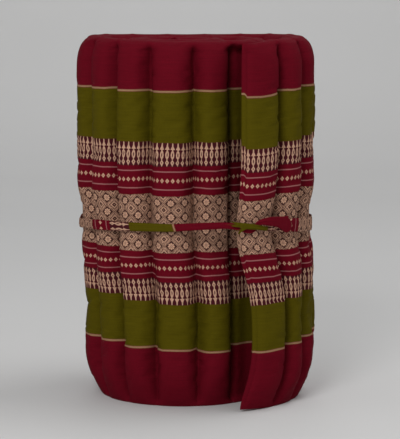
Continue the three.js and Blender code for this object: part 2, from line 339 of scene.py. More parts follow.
class ClothSettings(bpy.types.PropertyGroup):
    red: FloatVectorProperty(
        name="Red", description="Ground of the border bands", default=(0.132, 0.0038, 0.0112),
        size=3, min=0, max=1, subtype="COLOR")
    green: FloatVectorProperty(
        name="Green", description="Plain olive band", default=(0.086, 0.068, 0.0030),
        size=3, min=0, max=1, subtype="COLOR")
    maroon: FloatVectorProperty(
        name="Maroon", description="Ground under the spear border", default=(0.060, 0.010, 0.014),
        size=3, min=0, max=1, subtype="COLOR")
    tan: FloatVectorProperty(
        name="Tan", description="Light weft of the brocade and motifs", default=(0.70, 0.415, 0.28),
        size=3, min=0, max=1, subtype="COLOR")
    brown: FloatVectorProperty(
        name="Brown", description="Dark weft of the brocade", default=(0.064, 0.022, 0.018),
        size=3, min=0, max=1, subtype="COLOR")
    line: FloatVectorProperty(
        name="Line", description="Woven line between the green and the red end", default=(0.33, 0.19, 0.105),
        size=3, min=0, max=1, subtype="COLOR")
    pink: FloatVectorProperty(
        name="Pink", description="Narrow woven lines in the red bands", default=(0.34, 0.13, 0.125),
        size=3, min=0, max=1, subtype="COLOR")
    column_pitch: FloatProperty(
        name="Rosette pitch", description="Distance between two columns of rosettes",
        default=0.0246, unit="LENGTH")
    row_pitch: FloatProperty(
        name="Row pitch", description="Distance between two rows of rosettes", default=0.0236, unit="LENGTH")
    spear_pitch: FloatProperty(
        name="Spear pitch", description="Distance between two spears", default=0.00875, unit="LENGTH")
    dot_pitch: FloatProperty(
        name="Dot pitch", description="Distance between two lozenge dots", default=0.00885, unit="LENGTH")


class TieSettings(bpy.types.PropertyGroup):
    flat_width: FloatProperty(
        name="Flat width", description="Width of a tie before it is gathered", default=0.0235, unit="LENGTH")
    pleat_pitch: FloatProperty(
        name="Pleat pitch", description="Distance between the folds of a gathered tie",
        default=0.0042, unit="LENGTH")
    pleat_depth: FloatProperty(
        name="Pleat depth", description="Depth of the folds", default=0.0015, unit="LENGTH")


class StageSettings(bpy.types.PropertyGroup):
    floor: FloatVectorProperty(
        name="Floor", description="Colour of the floor and backdrop", default=(0.635, 0.633, 0.630),
        size=3, min=0, max=1, subtype="COLOR")
    key_power: FloatProperty(
        name="Key light", description="Power of the light at the front left", default=68, unit="POWER")
    top_power: FloatProperty(
        name="Top light", description="Power of the light overhead", default=24, unit="POWER")
    backdrop_power: FloatProperty(
        name="Backdrop light", description="Power of the light over the floor behind",
        default=45, unit="POWER")
    ambient: FloatProperty(
        name="Ambient", description="Strength of the even light from all sides",
        default=0.42, subtype="FACTOR")
    distance: FloatProperty(
        name="Distance", description="Camera's distance in front of the roll's axis",
        default=3.681, unit="LENGTH")
    aside: FloatProperty(
        name="Aside", description="Camera's distance to the right of the axis", default=0.0235, unit="LENGTH")
    eye: FloatProperty(
        name="Eye height", description="Camera's height over the floor", default=0.742, unit="LENGTH")
    pitch: FloatProperty(
        name="Pitch", description="Camera's tilt below level", default=math.radians(6.95), subtype="ANGLE")
    focal: FloatProperty(
        name="Focal length", description="Camera's focal length in pixels of the image",
        default=2196, subtype="PIXEL")


SETTINGS = {
    "mattress_settings": MattressSettings, "cloth_settings": ClothSettings,
    "tie_settings": TieSettings, "stage_settings": StageSettings,
}


def smooth(x):
    x = np.clip(x, 0, 1)
    return x * x * (3 - 2 * x)


def round_share(x, power):
    """Rises from 0 to 1 along a rounded shoulder."""
    return (1 - (1 - np.clip(x, 0, 1)) ** power) ** (1 / power)


def ripple(seed, count, *places):
    """Even mix of waves with seeded directions and phases, between about -1 and 1."""
    chance = np.random.default_rng(seed)
    total = 0
    for _ in range(count):
        waves = chance.uniform(0.5, 1.5, len(places)) * chance.choice([-1, 1], len(places))
        total = total + np.sin(sum(w * p for w, p in zip(waves, places)) + chance.uniform(0, TAU))
    return total / math.sqrt(count)


class Roll:
    """The roll's formulas, in metres: the CAD model's, with softer ends and uneven seams."""

    def __init__(self, settings):
        self.s = settings
        self.half_crown = settings.crown_thickness / 2
        self.seam_half = self.half_crown - settings.seam_depth
        self.fall = (settings.crown_thickness + settings.layer_gap) / TAU
        self.radius = settings.flap_radius - settings.seam_depth
        self.length = settings.channel_count * settings.channel_pitch
        self.shift = np.zeros(3)
        places = np.arange(0, settings.channel_count, 0.1) * settings.channel_pitch
        level = np.full_like(places, CENTRED_LEVEL)
        low, high = (np.array(corner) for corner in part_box("mattress_roll"))
        drawn = self.cover(places, level, 1)
        self.shift[:2] = (low + high)[:2] / 2 - (drawn.min(0) + drawn.max(0))[:2] / 2

    def turn(self, length):
        """Turn from the outer edge at a length along the seams."""
        return (self.radius - np.sqrt(self.radius ** 2 - 2 * self.fall * length)) / self.fall

    def shown_length(self):
        """Length of the outermost turn, up to where the flap hides it."""
        turn = (self.radius ** 2 - (self.radius - TAU * self.fall) ** 2) / (2 * self.fall)
        return turn + SHOWN_UNDER_FLAP * self.s.channel_pitch

    def bulge(self, length):
        across = (length / self.s.channel_pitch) % 1
        return round_share(2 * np.minimum(across, 1 - across), SEAM_SHARPNESS)

    def near_flap(self, length):
        return 1 - smooth(length / self.s.channel_pitch)

    def end_share(self, height):
        top = round_share((self.s.height - height) / TOP_ROUNDING, TOP_POWER)
        squash = (1 - FOOT_SHARE) * (1 - np.clip(height / FOOT_ROUNDING, 0, 1)) ** ROUNDING_POWER
        return np.maximum(TOP_SEAM_SHARE, top) * (1 - squash)

    def waist_dent(self, height):
        away = np.abs(height - WAIST_HEIGHT) - WAIST_BAND
        return WAIST_DEPTH * (1 - smooth(away / WAIST_REACH))

    def edge_line(self, height):
        """How far the outer edge is drawn in, as a line without corners."""
        heights, drawn = np.array(EDGE_LINE).T * MM
        steps = np.linspace(-EDGE_EASING, EDGE_EASING, EDGE_SAMPLES)
        return sum(np.interp(height + step, heights, drawn) for step in steps) / len(steps)

    def cover(self, length, height, side, proud=0.0):
        """Points of the outer (side 1) or inner (side -1) cover, standing proud by a thickness."""
        s = self.s
        bulge = self.bulge(length)
        filled = np.maximum(bulge, SEAM_FADE * smooth((height - s.height + SEAM_STOP) / SEAM_FADE_REACH))
        from_end = np.minimum(length, self.length - length)
        ending = np.maximum(EDGE_SEAM_SHARE, round_share(from_end / EDGE_ROUNDING, ROUNDING_POWER))
        near = self.near_flap(length)
        slant = 1 - smooth(length / s.channel_pitch - 1)
        turn = self.turn(np.maximum(length + self.edge_line(height) * slant, EDGE_FURTHEST))
        lift = EDGE_LIFT * (EDGE_FOOT_LIFT + (1 - EDGE_FOOT_LIFT) * smooth(height / EDGE_FOOT_REACH))
        middle = self.radius - self.seam_half - self.fall * turn + lift * near

        half = self.seam_half + (self.half_crown - self.seam_half) * filled + proud
        if side > 0:
            half = half - self.waist_dent(height) * (turn < TAU)
        half = half * (1 - near * (EDGE_OUTER_TAPER if side > 0 else EDGE_INNER_TAPER))
        if side < 0:
            half = np.minimum(half, CORE_SQUEEZE * middle)

        foot = smooth((WAIST_HEIGHT - height) / (WAIST_HEIGHT / 2))
        radius = (middle + side * half * ending * self.end_share(height)) * (1 - FOOT_NARROWING * foot)
        bearing = s.flap_bearing + turn
        bearings, drifts = np.radians(SEAM_DRIFT).T
        bearing = bearing + np.interp(bearing, bearings, drifts)
        drawn_down = TOP_DRAW_IN * bulge * np.clip(1 - (s.height - height) / TOP_ROUNDING, 0, 1)
        sag = EDGE_SAG * near * smooth(height / s.height)
        tilt = EDGE_TILT * near * (1 - smooth(height / EDGE_TILT_REACH))
        rise = SIDE_RISE * np.cos(bearing) ** 2 * smooth((height - SIDE_RISE_START) / SIDE_RISE_REACH)
        rise = rise * (1 - smooth(turn - SIDE_RISE_TURN))
        return np.stack([
            radius * np.cos(bearing) + FOOT_SHIFT * foot,
            radius * np.sin(bearing),
            height - drawn_down - sag + tilt + rise,
        ], -1) + self.shift

    def uneven(self, length, height):
        """Hand-filled padding and stitch puckers of the outermost cover, as a thickness."""
        pitch = self.s.channel_pitch
        channel = np.floor(length / pitch)
        across = (length / pitch) % 1
        to_seam = np.minimum(across, 1 - across) * pitch
        lumps = LUMP_HEIGHT * ripple(3, 6, length / LUMP_LENGTH, height / LUMP_RISE) * self.bulge(length)
        fill = FILL_VARIATION * np.sin(channel * 2.4 + 0.7) * self.bulge(length)
        own = channel * 7.3 + np.where(across < 0.5, 0, 2.1)
        pucker = PUCKER_HEIGHT * np.exp(-((to_seam - PUCKER_FROM_SEAM) / PUCKER_REACH) ** 2)
        pucker = pucker * ripple(5, 4, height / PUCKER_PITCH, own)
        clear = smooth((np.abs(height - WAIST_HEIGHT) - TIE_CLEAR) / TIE_FADE)
        ends = smooth(height / FOOT_FADE) * smooth((self.s.height - height - TOP_BARE) / TOP_FADE)
        pinch = -SEAM_PINCH * np.exp(-(to_seam / PINCH_REACH) ** PINCH_POWER)
        stitch = -EDGE_STITCH * np.exp(-((length - EDGE_HEM) / EDGE_STITCH_REACH) ** 2)
        from_tuck = length - self.shown_length() + TUCKED_BACK * pitch
        tucked = -TUCKED_DEPTH * np.exp(-(from_tuck / (TUCKED_REACH * pitch)) ** 2)
        shown = length < self.shown_length()
        return (((lumps + fill + pucker) * clear + pinch + stitch) * shown + tucked) * ends


def grid_faces(rows, columns, closed):
    """Quads of a grid of points, with its columns joined round when closed."""
    point = np.arange(rows * columns).reshape(rows, columns)
    after = np.roll(point, -1, 1)
    if not closed:
        point, after = point[:, :-1], after[:, :-1]
    return np.stack([point[:-1], after[:-1], after[1:], point[1:]], -1).reshape(-1, 4)


def mesh_piece(name, points, faces, places, material):
    """New object with its own UV map, in metres of cloth, smooth all over."""
    mesh = bpy.data.meshes.new(name)
    mesh.from_pydata(points.reshape(-1, 3).tolist(), [], [list(face) for face in faces])
    layer = mesh.uv_layers.new(name="cloth")
    corners = np.empty(len(mesh.loops), dtype=np.int32)
    mesh.loops.foreach_get("vertex_index", corners)
    layer.data.foreach_set("uv", places.reshape(-1, 2)[corners].astype(np.float32).ravel())
    mesh.shade_smooth()
    mesh.update()
    if mesh.validate():
        raise RuntimeError(f"{name} has faulty faces")
    piece = bpy.data.objects.new(name, mesh)
    bpy.context.collection.objects.link(piece)
    mesh.materials.append(material)
    return piece


def pressed_out(points, held, settings):
    """Moves of a sewn cover's points when its padding swells against a little spare cloth."""
    rows, columns = points.shape[:2]
    mesh = bpy.data.meshes.new("cover_patch")
    mesh.from_pydata(points.reshape(-1, 3).tolist(), [], [list(f) for f in grid_faces(rows, columns, False)])
    patch = bpy.data.objects.new("cover_patch", mesh)
    bpy.context.collection.objects.link(patch)
    pins = patch.vertex_groups.new(name="sewn")
    pins.add(np.flatnonzero(held.ravel()).tolist(), 1.0, "REPLACE")
    cloth = patch.modifiers.new("cloth", "CLOTH")
    cloth.settings.quality = 5
    cloth.settings.mass = 0.2
    cloth.settings.tension_stiffness = 20
    cloth.settings.compression_stiffness = 20
    cloth.settings.shear_stiffness = 6
    cloth.settings.bending_stiffness = 0.3
    cloth.settings.use_pressure = True
    cloth.settings.uniform_pressure_force = 4
    cloth.settings.shrink_min = -settings.spare_cloth
    cloth.settings.vertex_group_mass = pins.name
    cloth.settings.effector_weights.gravity = 0
    cloth.point_cache.frame_start, cloth.point_cache.frame_end = 1, SETTLING_FRAMES
    for number in range(1, SETTLING_FRAMES + 1):
        bpy.context.scene.frame_set(number)
    done = patch.evaluated_get(bpy.context.evaluated_depsgraph_get()).data
    moved = np.empty(len(done.vertices) * 3, dtype=np.float32)
    done.vertices.foreach_get("co", moved)
    moves = moved.reshape(points.shape) - points
    bpy.data.objects.remove(patch)
    bpy.data.meshes.remove(mesh)
    bpy.context.scene.frame_set(1)
    reach = np.linalg.norm(moves, axis=-1, keepdims=True)
    return moves * np.minimum(1, settings.swell / np.maximum(reach, 1e-9))


class Wire:
    """A shader socket that takes part in Python expressions."""

    def __init__(self, tree, socket=None):
        self.tree, self.socket = tree, socket

    def node(self, kind, settings, sockets, output=0):
        """Adds a node: its settings first, then the values or links of its sockets."""
        made = self.tree.nodes.new(kind)
        for key, value in settings.items():
            if key == "stops":
                ramp = made.color_ramp.elements
                while len(ramp) < len(value):
                    ramp.new(1.0)
                for stop, (place, share) in zip(ramp, value):
                    stop.position, stop.color = place, (share, share, share, 1)
            else:
                setattr(made, key, value)
        for key, value in sockets.items():
            if isinstance(value, Wire):
                self.tree.links.new(value.socket, made.inputs[key])
            else:
                made.inputs[key].default_value = value
        return Wire(self.tree, made.outputs[output])

    def math(self, operation, *values, clamp=False):
        settings = {"operation": operation, "use_clamp": clamp}
        return self.node("ShaderNodeMath", settings, dict(enumerate(values)))

    def __add__(self, other):
        return self.math("ADD", self, other)

    def __radd__(self, other):
        return self.math("ADD", other, self)

    def __sub__(self, other):
        return self.math("SUBTRACT", self, other)

    def __rsub__(self, other):
        return self.math("SUBTRACT", other, self)

    def __mul__(self, other):
        return self.math("MULTIPLY", self, other)

    def __rmul__(self, other):
        return self.math("MULTIPLY", other, self)

    def __truediv__(self, other):
        return self.math("DIVIDE", self, other)

    def __rtruediv__(self, other):
        return self.math("DIVIDE", other, self)

    def __abs__(self):
        return self.math("ABSOLUTE", self)

    def above(self, edge, soft=0.5):
        """Mask that is 1 where this is over an edge, with a soft step."""
        return self.math("MULTIPLY_ADD", self - edge, 1 / soft, 0.5, clamp=True)

    def below(self, edge, soft=0.5):
        return self.math("MULTIPLY_ADD", edge - self, 1 / soft, 0.5, clamp=True)

    def between(self, low, high, soft=0.5):
        return self.above(low, soft) * self.below(high, soft)

    def from_repeat(self, pitch):
        """Distance from the middle of the nearest repeat."""
        return abs(self.math("FRACT", self / pitch) - 0.5) * pitch

    def over(self, under, colour):
        """Colour laid over another where this mask is 1."""
        return self.node("ShaderNodeMix", {"data_type": "RGBA"}, {0: self, 6: under, 7: colour}, output=2)


def solid(colour):
    return (*colour, 1.0)


def noise(wire, place, **sockets):
    """Flat noise over the cloth."""
    return wire.node("ShaderNodeTexNoise", {"noise_dimensions": "2D"}, {"Vector": place, **sockets})


def stretched(wire, place, along, up):
    """Place on the cloth, scaled along the roll and up it."""
    return wire.node("ShaderNodeVectorMath", {"operation": "MULTIPLY"}, {0: place, 1: (along, up, 1)})


def brocade(wire, along, up, grain, cloth):
    """Share of light weft in the rosette brocade, with an uneven grain in its ground. In millimetres."""
    column, row = cloth.column_pitch / MM, cloth.row_pitch / MM
    x, y = along.from_repeat(column), up.from_repeat(row)
    lozenge = x / (column / 2) + y / (row / 2)
    angle = wire.math("ARCTAN2", y, x)
    petals = wire.math("COSINE", angle * 8)
    radius = wire.math("SQRT", x * x + y * y)

    rosette = (radius - petals * 0.5).below(5.2, 0.5)
    outline = lozenge.below(0.845, 0.04)
    creases = petals.below(-0.1, 0.7) * radius.between(2.8, 5.4, 0.8)
    heart = radius.between(0.7, 2.3, 0.7)

    rising = wire.math("SINE", (x + y) * (TAU / 5.0))
    falling = wire.math("SINE", (x - y) * (TAU / 3.8))
    ground = 0.28 + (rising * 0.6 + falling * 0.5 + grain * 2.0).above(0.0, 0.5) * 0.6
    cross = abs(lozenge - 1).below(0.08, 0.06) * abs(x - column / 4).above(3.6, 1.0) * 0.85
    eye = (column / 2 - x) + (row / 2 - y)
    halo = wire.math("MAXIMUM", eye.below(6.0, 0.8), lozenge.below(0.92, 0.05)) * 0.65
    eye_ring = eye.between(0.9, 4.0, 0.5)

    dark = wire.math("MAXIMUM", ground * (1 - halo), outline)
    dark = wire.math("MAXIMUM", wire.math("MAXIMUM", dark, eye_ring), cross) * (1 - rosette)
    return 1 - dark - wire.math("MAXIMUM", creases * 0.5, heart * 0.6) * rosette


# Half width of a spear from its tip, at the red side, to its stem, as shares of its length and greatest width
SPEAR_LENGTH = 37.0
SPEAR_WIDTH = 4.75
SPEAR_OUTLINE = (
    (0.00, 0.06), (0.15, 0.66), (0.25, 0.18), (0.31, 0.18), (0.37, 0.50), (0.49, 0.64), (0.61, 0.50),
    (0.67, 0.20), (0.705, 0.20), (0.72, 0.80), (0.75, 0.66), (0.86, 0.26), (1.00, 0.17),
)


def spears(wire, along, depth, pitch):
    """Share of light weft in the border of spears, at a depth from its red side."""
    x = along.from_repeat(pitch)
    outline = wire.node("ShaderNodeValToRGB", {"stops": SPEAR_OUTLINE}, {0: depth / SPEAR_LENGTH})
    spear = (outline * SPEAR_WIDTH - x).above(0.0, 0.5)
    ring_core = (x * x / 0.7 + (depth - 18.0) * (depth - 18.0) / 11.0).below(1.0, 0.7)
    lozenge_core = (x / 1.0 + abs(depth - 5.6) / 1.4).below(1.0, 0.5)
    return spear * (1 - ring_core) * (1 - lozenge_core)


def banded_cloth(name, cloth, weave_depth):
    """Handwoven cotton with a brocade middle, red, speared and green bands and red ends."""
    material = bpy.data.materials.new(name)
    material.use_nodes = True
    shader = material.node_tree.nodes["Principled BSDF"]
    wire = Wire(material.node_tree)

    place = wire.node("ShaderNodeUVMap", {"uv_map": "cloth"}, {})
    raw_along = wire.node("ShaderNodeSeparateXYZ", {}, {0: place}, output="X") * 1000
    raw_up = wire.node("ShaderNodeSeparateXYZ", {}, {0: place}, output="Y") * 1000
    wander = noise(wire, place, Scale=24, Detail=1) - 0.5
    along, up = raw_along + wander * 1.0, raw_up + wander * 1.6
    far = abs(up)

    streaks = noise(wire, stretched(wire, place, 22, 420), Scale=1, Detail=3, Roughness=0.6)
    slubs = noise(wire, stretched(wire, place, 700, 160), Scale=1, Detail=2, Roughness=0.55)
    ribs = wire.math("SINE", raw_up * (TAU / 1.15))
    threads = wire.math("SINE", raw_along * (TAU / 0.9))

    grain = noise(wire, place, Scale=400, Detail=0) - 0.5
    light = brocade(wire, along, up, grain, cloth)
    in_brocade = (far - along.from_repeat(3.1) * 0.5).below(BROCADE_EDGE, 0.8)
    in_green = far.between(GREEN_START, GREEN_END, 0.8)
    in_spears = far.between(SPEARS_START, GREEN_START, 0.8)
    spear = spears(wire, along, far - SPEAR_TIPS, cloth.spear_pitch / MM) * in_spears

    dot_x, dot_y = along.from_repeat(cloth.dot_pitch / MM), abs(far - DOT_ROW)
    dots = (dot_x / 3.3 + dot_y / 3.9).below(1.0, 0.22) * (1 - (dot_x + dot_y).below(0.9, 0.5) * 0.8)
    pink_line, next_line = (abs(far - row).below(0.95, 0.7) for row in (FIRST_PINK_LINE, SECOND_PINK_LINE))
    pink_lines = wire.math("MAXIMUM", pink_line, next_line)
    end_line = abs(far - END_LINE).below(1.5, 1.0)

    brown, tan = solid(cloth.brown), solid(cloth.tan)
    colour = in_green.over(solid(cloth.red), solid(cloth.green))
    colour = in_spears.over(colour, solid(cloth.maroon))
    colour = pink_lines.over(colour, solid(cloth.pink))
    colour = end_line.over(colour, solid(cloth.line))
    weft = wire.math("MAXIMUM", spear, dots)
    colour = (weft * (0.56 + slubs * 0.46)).over(colour, tan)
    colour = in_brocade.over(colour, (light * (0.70 + slubs * 0.5)).over(brown, tan))

    tone = 0.70 + streaks * 0.38 + slubs * 0.16 + ribs * 0.05
    toned = wire.node("ShaderNodeVectorMath", {"operation": "SCALE"}, {0: colour, "Scale": tone})
    raised = wire.math("MAXIMUM", light * in_brocade, weft)
    relief = ribs * 0.30 + threads * 0.18 + streaks * 0.9 + slubs * 0.5 + raised * 0.9
    normal = wire.node("ShaderNodeBump", {}, {"Strength": 0.55, "Distance": weave_depth, "Height": relief})
    roughness = 0.62 + streaks * 0.22 + raised * 0.06

    for key, value in {"Base Color": toned, "Roughness": roughness, "Normal": normal}.items():
        material.node_tree.links.new(value.socket, shader.inputs[key])
    shader.inputs["Specular IOR Level"].default_value = 0.02
    return material


def roll_columns(roll):
    """Lengths of the columns of points: dense on the outermost turn and by each seam, plainer inside."""
    pitch = roll.s.channel_pitch
    dense = np.array([
        0, 0.03, 0.065, 0.11, 0.17, 0.25, 0.34, 0.44, 0.56, 0.66, 0.75, 0.83, 0.89, 0.935, 0.97])
    plain = np.array([0, 0.08, 0.25, 0.5, 0.75, 0.92])
    edge = np.array([0, 1.2, 2.8, 4.6, 6, 7, 8, 9.5, 12, 15]) * MM
    outer = int(roll.shown_length() / pitch) + 1
    columns = []
    for channel in range(roll.s.channel_count):
        columns.append((channel + (dense if channel < outer else plain)) * pitch)
    columns = np.concatenate(columns)
    inside = (columns > edge[-1] + MM) & (columns < roll.length - edge[-1] - MM)
    return np.concatenate([edge, columns[inside], roll.length - edge[::-1]])


def roll_levels(height):
    """Heights of the rows of points, closer together at both ends."""
    (foot_reach, foot_count, foot_power), (top_reach, top_count, top_power) = FOOT_ROWS, TOP_ROWS
    foot = foot_reach * np.linspace(0, 1, foot_count) ** foot_power
    top = height - top_reach * np.linspace(0, 1, top_count) ** top_power
    body = np.linspace(foot[-1], top[-1], BODY_ROWS)
    return np.concatenate([foot[:-1], body[:-1], top[::-1]])


def run_along(points, axis):
    """Lengths walked from the first row or column of a grid of points along an axis."""
    steps = np.linalg.norm(np.diff(points, axis=axis), axis=-1)
    return np.insert(np.cumsum(steps, axis), 0, 0, axis)


def by_height(rows, levels):
    heights, values = np.array(rows).T * MM
    return np.interp(levels, heights, values)[:, None]


def within(reach, rising, falling):
    """Share that rises from a bearing to full and falls off again towards another."""
    start, rise, end, fall = reach
    return smooth((rising - start) / rise) * smooth((end - falling) / fall)


def cloth_places(roll, even, sewn, lengths, levels, side):
    """UV places of a cover: cloth's length from the outer edge, and its distance from the bands' middle."""
    s = roll.s
    climbed = run_along(even, 0)
    start = int(np.argmin(np.abs(levels - s.band_middle)))
    up = climbed - climbed[start] + (levels[start] - s.band_middle)
    up = up - FAR_BANDS_RAISED * smooth((np.abs(up) - FAR_BANDS_START) / FAR_BANDS_REACH)

    channel = np.floor(lengths / s.channel_pitch)
    facing = np.degrees(roll.turn((channel + 0.5) * s.channel_pitch)) + math.degrees(s.flap_bearing)
    sloping = (facing + np.degrees(roll.turn(lengths)) + math.degrees(s.flap_bearing)) / 2
    right = within(RIGHT_REACH, sloping, facing)
    left = within(LEFT_REACH, facing, facing)
    flap = smooth(FLAP_CHANNELS - lengths / s.channel_pitch) * smooth((lengths - FLAP_BARE) / FLAP_FADE)
    shown = lengths < roll.shown_length()
    up = up - shown * (right * by_height(RIGHT_RAISED, levels) + left * by_height(LEFT_RAISED, levels))
    front = shown * within(FRONT_REACH, facing, facing)
    up = up + flap * by_height(FLAP_DROPPED, levels) + front * by_height(FRONT_DROPPED, levels)
    up = up + BAND_WANDER * np.sin(channel * 1.9 + 0.4)

    middle = int(np.argmin(np.abs(levels - CLOTH_LEVEL)))
    along = run_along(sewn[middle], 0) + table(CLOTH_TAKEN, channel)[0] * MM
    along = along + np.minimum(lengths - EDGE_HEM, 0)
    if side < 0:
        along = along + EDGE_HEM
    return np.stack([np.broadcast_to(side * along, up.shape), up], -1)


class MATTRESS_OT_wind_roll(bpy.types.Operator):
    """Builds the quilted mattress, wound from its outer edge to its core"""
    bl_idname = "mattress.wind_roll"
    bl_label = "Wind roll"

    def execute(self, context):
        scene = context.scene
        roll = Roll(scene.mattress_settings)
        lengths, levels = roll_columns(roll), roll_levels(roll.s.height)
        length, height = np.meshgrid(lengths, levels)
        proud = roll.uneven(length, height)
        outer = roll.cover(length, height, 1, proud)
        inner = roll.cover(length, height, -1)
        outer_places = cloth_places(roll, roll.cover(length, height, 1), outer, lengths, levels, 1)
        inner_places = cloth_places(roll, inner, inner, lengths, levels, -1)

        shown = int(np.searchsorted(lengths, roll.shown_length()))
        outermost = length < roll.shown_length()
        outer = roll.cover(length, height, 1, proud - roll.s.slack * roll.bulge(length) * outermost)
        patch = np.ascontiguousarray(outer[:, :shown])
        across = (lengths[:shown] / roll.s.channel_pitch) % 1
        held = np.zeros(patch.shape[:2], dtype=bool)
        held[:, (across < 1e-6) | (across > 1 - 1e-6)] = True
        held[:, lengths[:shown] < HELD_EDGE] = True
        held[:, -HELD_COLUMNS:] = True
        held[(levels < HELD_FOOT) | (levels > roll.s.height - HELD_TOP)] = True
        held[np.abs(levels - WAIST_HEIGHT) < HELD_WAIST] = True
        outer[:, :shown] += pressed_out(patch, held, roll.s)

        points = np.concatenate([outer, inner[:, ::-1]], 1)
        places = np.concatenate([outer_places, inner_places[:, ::-1]], 1)
        rows, around = points.shape[:2]
        faces = grid_faces(rows, around, True).tolist()
        last = (rows - 1) * around
        for i in range(len(lengths) - 1):
            facing = around - 1 - i
            faces.append([facing, facing - 1, i + 1, i])
            faces.append([last + i, last + i + 1, last + facing - 1, last + facing])
        material = banded_cloth("mattress_cloth", scene.cloth_settings, MATTRESS_WEAVE)
        piece = mesh_piece("quilted_roll", points, faces, places, material)
        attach(piece, "root")
        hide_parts("mattress_roll")
        return {"FINISHED"}


class Waist:
    """The taut line that a tie takes round the roll's waist."""

    def __init__(self, roll):
        lengths = np.linspace(0, roll.shown_length(), WAIST_POINTS)
        level = np.full_like(lengths, WAIST_HEIGHT)
        self.axis = roll.shift[:2]
        points = roll.cover(lengths, level, 1)[:, :2] - self.axis
        points = points[np.lexsort((points[:, 1], points[:, 0]))]
        corners = np.array(self.half(points)[:-1] + self.half(points[::-1])[:-1])
        sides = np.roll(corners, -1, 0) - corners
        self.normals = np.stack([sides[:, 1], -sides[:, 0]], -1)
        self.normals /= np.linalg.norm(self.normals, axis=1, keepdims=True)
        self.reaches = (self.normals * corners).sum(1)

    @staticmethod
    def half(points):
        """Corners of one half of the taut line, in the order of the points."""
        kept = []
        for point in points:
            while len(kept) > 1:
                (ax, ay), (bx, by) = kept[-2], kept[-1]
                if (bx - ax) * (point[1] - ay) > (by - ay) * (point[0] - ax):
                    break
                kept.pop()
            kept.append(tuple(point))
        return kept

    def at(self, degrees):
        """Point of the line at a bearing, and its outward normal there."""
        way = np.array([math.cos(math.radians(degrees)), math.sin(math.radians(degrees))])
        facing = self.normals @ way
        radius = np.where(facing > 1e-6, self.reaches / np.maximum(facing, 1e-6), np.inf)
        nearest = int(np.argmin(radius))
        return way * radius[nearest], self.normals[nearest]

    def over(self, degrees, lift, height):
        point, normal = self.at(degrees)
        return np.array([*(point + normal * lift + self.axis), height])


def table(rows, place):
    """Values of a table's other columns at a place in its first column."""
    rows = np.array(rows, dtype=float)
    if rows[0, 0] > rows[-1, 0]:
        rows = rows[::-1]
    return [np.interp(place, rows[:, 0], column) for column in rows.T[1:]]


def free_rows(waist, rows):
    """Middles, widths and thicknesses of sections that lie over the taut line by their own lift."""
    return [(*waist.over(degrees, lift * MM, height * MM), width * MM, thickness * MM)
            for degrees, height, width, thickness, lift in rows]


def evenly(rows, step):
    """Rows of a path spread evenly along it with its corners eased, and the lengths walked to them."""
    rows = np.array(rows)
    walked = run_along(rows[:, :3], 0)
    places = np.linspace(0, walked[-1], max(LEAST_ROWS, int(walked[-1] / step)))
    rows = np.stack([np.interp(places, walked, column) for column in rows.T], -1)
    for _ in range(EASING_ROUNDS):
        rows[1:-1] = (rows[:-2] + 2 * rows[1:-1] + rows[2:]) / 4
    return rows, places


def tie_path(waist, strap, knot):
    """Rows of one tie from the sewn joint at the back, round the roll and through the knot."""
    first, final = strap[0][0], strap[-1][0]
    rows = []
    for degrees in np.linspace(first, final, int(abs(final - first))):
        height, width, thickness = table(strap, degrees)
        middle = waist.over(degrees, TIE_CLEARANCE + thickness * MM / 2, height * MM)
        rows.append((*middle, width * MM, thickness * MM))
    return rows + free_rows(waist, knot)


def band_places(waist, rows, walked, bands):
    """Distance from the middle of the woven bands at each row of a tie."""
    flat = rows[:, :2] - waist.axis
    degrees = np.degrees(np.unwrap(np.arctan2(flat[:, 1], flat[:, 0])))
    degrees += 360 * np.round((bands[0][0] - degrees[0]) / 360)
    (places,) = table(bands, degrees)
    travel = math.copysign(1, bands[-1][0] - bands[0][0])
    beyond = (degrees - bands[-1][0]) * travel > 0
    last = int(np.argmax(beyond)) - 1
    return np.where(beyond, bands[-1][1] + (walked - walked[last]) / MM, places) * MM


def swept(rows, walked, places, ties, travel, around=TIE_AROUND):
    """Points and UV places of a closed strip of cloth, with its folds lengthwise."""
    middles = rows[:, :3]
    path = np.gradient(middles, axis=0)
    path /= np.linalg.norm(path, axis=1, keepdims=True)
    up = np.array([0, 0, 1.0]) - path * path[:, 2:]
    up /= np.linalg.norm(up, axis=1, keepdims=True)
    out = np.cross(path, up) * travel
    angle = (np.arange(around) + 0.5) / around * TAU * travel
    wide = np.sign(np.cos(angle)) * np.abs(np.cos(angle)) ** TIE_CORNER
    thick = np.sign(np.sin(angle)) * np.abs(np.sin(angle)) ** TIE_CORNER

    width, thickness = rows[:, 3:4], rows[:, 4:5]
    at_no_width, least, greatest = GATHERED
    gathered = np.clip(at_no_width - width / ties.flat_width, least, greatest)
    across = wide * width / 2
    drift = walked[:, None] / FOLD_DRIFT + FOLD_SWAY * np.sin(walked[:, None] / FOLD_SWAY_LENGTH)
    fold = np.cos(across * TAU / ties.pleat_pitch + drift)
    second = np.cos(across * TAU / (SECOND_FOLD_PITCH * ties.pleat_pitch) - SECOND_FOLD_DRIFT * drift)
    fold = (1 - SECOND_FOLD) * fold + SECOND_FOLD * second
    depth = np.minimum(ties.pleat_depth, FOLD_THICKNESS_SHARE * thickness) * gathered * (0.5 + fold)
    raised = thick * thickness / 2 - np.clip(thick, 0, 1) * np.clip(depth, 0, None)
    points = middles[:, None] + up[:, None] * across[..., None] + out[:, None] * raised[..., None]

    cloth_across = (np.arange(around) / around - 0.25) * 2 * ties.flat_width
    cloth_along = places[:, None] + TIE_TWIST * across * gathered
    return points, np.stack(np.broadcast_arrays(cloth_across[None], cloth_along), -1)


